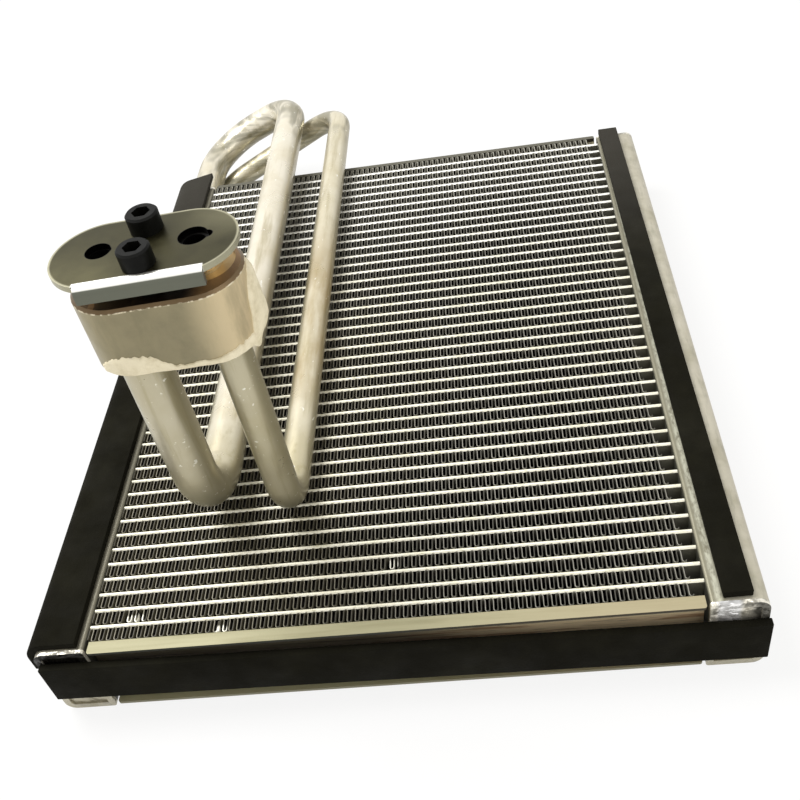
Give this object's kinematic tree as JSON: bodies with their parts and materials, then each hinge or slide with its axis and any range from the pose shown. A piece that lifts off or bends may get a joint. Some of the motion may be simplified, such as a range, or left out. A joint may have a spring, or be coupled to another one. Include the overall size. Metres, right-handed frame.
{
  "type": "evaporator core",
  "caption": "Air-conditioning evaporator core: flat tubes and corrugated fins between two-lobed header tanks, with bent suction and liquid pipes, a connector block and foam seals.",
  "frame": {"origin": "bottom centre of the part's bounding box, on the plane of the headers' lower faces", "axes": "+X along the flat tubes, +Y across the tube rows towards the pipe bends, +Z out of the upper core face towards the connector block"},
  "size_m": [0.2536, 0.3734, 0.1686],
  "materials": {
    "fins": "corrugated thin sheet, dull",
    "tubes": "bright bare edges",
    "headers": "dull brazed",
    "caps": "satin brazed",
    "foam": "black open foam",
    "pipes": "satin drawn tube",
    "block": "dull cast with white flux residue",
    "plate": "dull stamped sheet",
    "screws": "blackened steel"
  },
  "bodies": {
    "root": {"fin_01": "fins", "fin_02": "fins", "fin_03": "fins", "fin_04": "fins", "fin_05": "fins", "fin_06": "fins", "fin_07": "fins", "fin_08": "fins", "fin_09": "fins", "fin_10": "fins", "fin_11": "fins", "fin_12": "fins", "fin_13": "fins", "fin_14": "fins", "fin_15": "fins", "fin_16": "fins", "fin_17": "fins", "fin_18": "fins", "fin_19": "fins", "fin_20": "fins", "fin_21": "fins", "fin_22": "fins", "fin_23": "fins", "fin_24": "fins", "fin_25": "fins", "fin_26": "fins", "fin_27": "fins", "fin_28": "fins", "fin_29": "fins", "fin_30": "fins", "fin_31": "fins", "fin_32": "fins", "fin_33": "fins", "fin_34": "fins", "fin_35": "fins", "fin_36": "fins", "fin_37": "fins", "fin_38": "fins", "fin_39": "fins", "fin_40": "fins", "fin_41": "fins", "fin_42": "fins", "fin_43": "fins", "flat_tubes": "tubes", "left_header_plate": "headers", "right_header_plate": "headers", "left_tank_cover": "headers", "right_tank_cover": "headers", "left_end_caps": "caps", "right_end_caps": "caps", "near_side_plate": "caps", "far_side_plate": "caps", "left_foam_strip": "foam", "right_foam_strip": "foam", "near_foam_strip": "foam", "suction_pipe": "pipes", "liquid_pipe": "pipes", "connector_block": "block", "retainer_plate": "plate", "cap_screws": "screws"}
  },
  "joints": []
}
